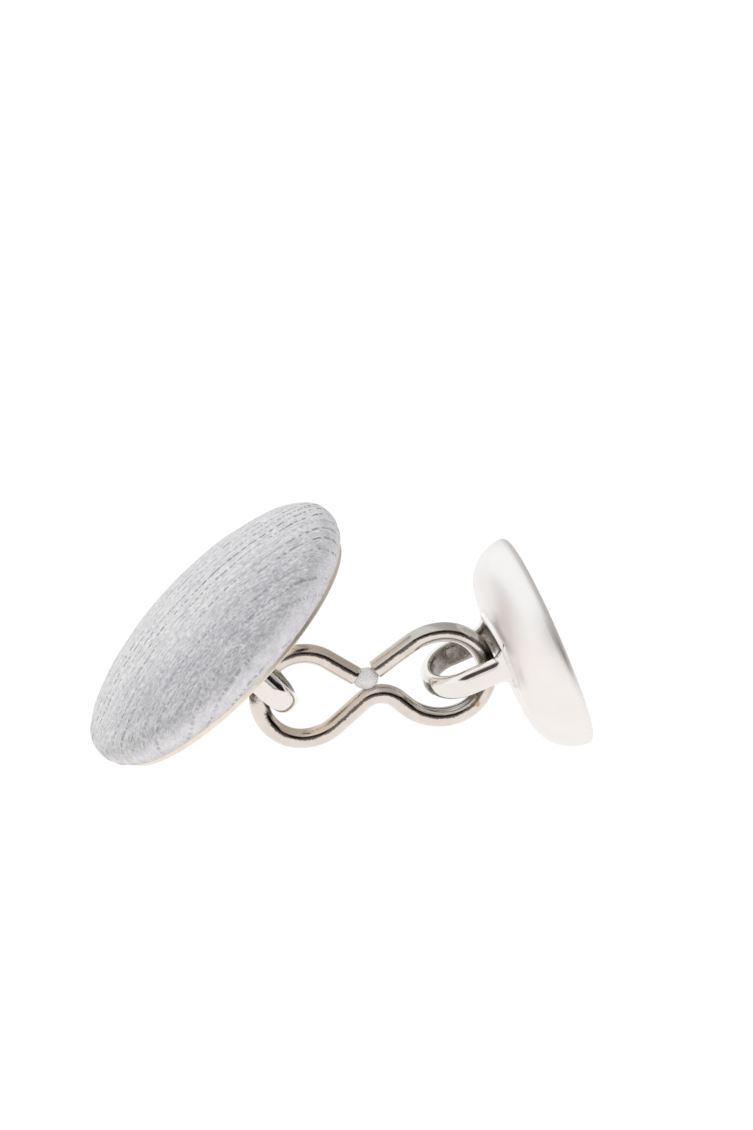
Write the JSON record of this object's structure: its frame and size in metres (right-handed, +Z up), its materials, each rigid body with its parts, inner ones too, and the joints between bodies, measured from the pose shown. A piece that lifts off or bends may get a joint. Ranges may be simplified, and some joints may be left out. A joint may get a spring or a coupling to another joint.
{
  "type": "cufflink",
  "caption": "Chain-link cufflink: silk-covered domed button and polished pebble toggle, each with a cast eye, joined by a waisted wire link.",
  "frame": {"origin": "middle of the link's waist", "axes": "+Z up as it stands on a table, +X along the cufflink from the button to the toggle, +Y away from the viewer of the picture"},
  "size_m": [0.0296, 0.0196, 0.015],
  "materials": {
    "silk": "ribbed silk",
    "wadding": "soft cotton",
    "cap_steel": "tinned",
    "pressboard": "matt",
    "plated_metal": "polished plating over brass",
    "solder": "polished silver solder"
  },
  "bodies": {
    "chain_link": {"link_wire": "plated_metal", "waist_solder": "solder"},
    "button": {"silk_cover": "silk", "wadding": "wadding", "button_cap": "cap_steel", "filler_disc": "pressboard", "back_plate": "plated_metal", "button_eye": "plated_metal", "button_eye_solder": "solder"},
    "toggle": {"toggle_shell": "plated_metal", "toggle_face": "plated_metal", "seam_solder": "solder", "toggle_eye": "plated_metal", "toggle_eye_solder": "solder"}
  },
  "joints": [
    {"name": "button_swing", "type": "hinge", "parent": "chain_link", "child": "button", "pos_m": [-0.00434, 0, -0.00058], "axis": [0, 1, 0], "range_deg": [-112, 8]},
    {"name": "toggle_swing", "type": "hinge", "parent": "chain_link", "child": "toggle", "pos_m": [0.00399, 0, 0.00053], "axis": [0, -1, 0], "range_deg": [-64.2, 35.8]}
  ]
}
